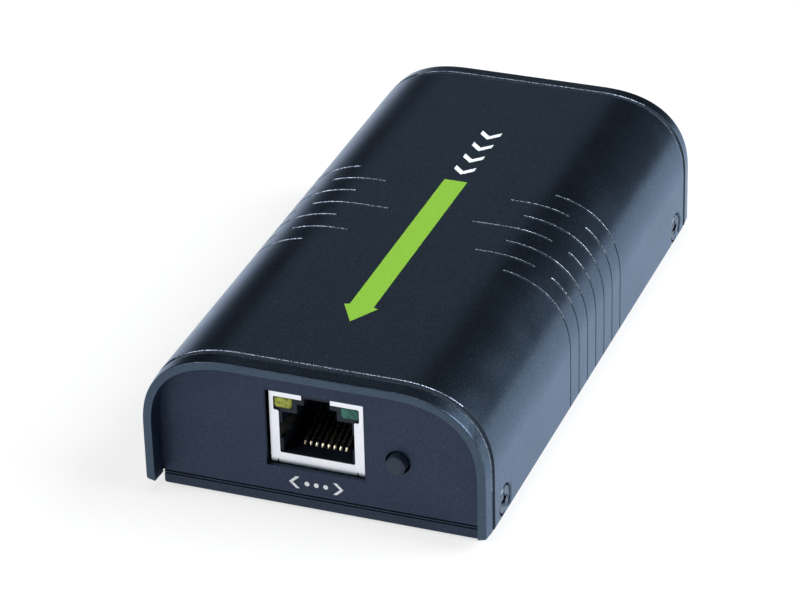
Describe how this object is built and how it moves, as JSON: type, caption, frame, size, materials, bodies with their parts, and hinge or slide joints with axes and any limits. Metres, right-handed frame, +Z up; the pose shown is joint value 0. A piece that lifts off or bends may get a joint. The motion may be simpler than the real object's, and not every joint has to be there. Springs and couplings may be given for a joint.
{
  "type": "hdmi extender",
  "caption": "Small arched metal box that sends a video signal over a network cable, with a reset button.",
  "frame": {"origin": "centre of the case's footprint, on the surface that the rubber feet rest on", "axes": "+Z up, Y along the case with the network socket's end at -Y, X across the case"},
  "size_m": [0.0584, 0.1116, 0.0274],
  "materials": {
    "cover_paint": "satin dark navy paint with a fine metallic sparkle",
    "panel_paint": "fine-grained satin navy paint",
    "base_paint": "fine-grained satin navy paint",
    "screw_steel": "zinc plated",
    "foot_rubber": "matt black",
    "board_laminate": "green solder mask",
    "standoff_brass": "plain",
    "shield_steel": "bright tin plated",
    "socket_plastic": "moulded dark slate",
    "contact_gold": "gold plated",
    "led_yellow": "clear yellow-green lens",
    "led_green": "clear teal lens",
    "button_plastic": "moulded dark slate",
    "bright_metal": "nickel plated",
    "black_plastic": "moulded black",
    "led_red": "clear red lens",
    "chip_resin": "moulded dark grey",
    "thermal_silicone": "soft grey-blue",
    "sink_aluminium": "plain",
    "ferrite": "pressed ferrite powder",
    "can_aluminium": "bright drawn can",
    "ceramic": "fired ceramic"
  },
  "bodies": {
    "case": {"top_cover": "cover_paint", "base_plate": "base_paint", "front_panel": "panel_paint", "rear_panel": "panel_paint", "side_screws": "screw_steel", "rubber_feet": "foot_rubber", "main_board": "board_laminate", "board_standoffs": "standoff_brass", "board_screws": "screw_steel", "lan_shield": "shield_steel", "lan_housing": "socket_plastic", "lan_contacts": "contact_gold", "lan_led_yellow": "led_yellow", "lan_led_green": "led_green", "reset_switch_body": "black_plastic", "reset_switch_frame": "bright_metal", "reset_dome": "bright_metal", "reset_terminals": "bright_metal", "video_shell": "bright_metal", "video_tongue": "black_plastic", "video_contacts": "contact_gold", "ir_housing": "black_plastic", "ir_collar": "bright_metal", "ir_springs": "contact_gold", "dc_housing": "black_plastic", "dc_pin": "bright_metal", "dc_spring": "bright_metal", "power_led": "led_red", "power_led_holder": "black_plastic", "video_processor": "chip_resin", "thermal_pad": "thermal_silicone", "heat_sink": "sink_aluminium", "memory_chips": "chip_resin", "flash_chip": "chip_resin", "network_chip": "chip_resin", "network_transformer": "black_plastic", "video_receiver": "chip_resin", "power_regulators": "chip_resin", "power_inductors": "ferrite", "capacitor_cans": "can_aluminium", "capacitor_bases": "black_plastic", "clock_crystals": "bright_metal", "chip_resistors": "chip_resin", "chip_capacitors": "ceramic"},
    "reset_button": {"reset_plunger": "button_plastic"}
  },
  "joints": [
    {"name": "reset_press", "type": "slide", "parent": "case", "child": "reset_button", "axis": [0, 1, 0], "range_m": [0, 0.00025], "stiffness_N_per_m": 1200, "springref_m": -0.0005}
  ]
}
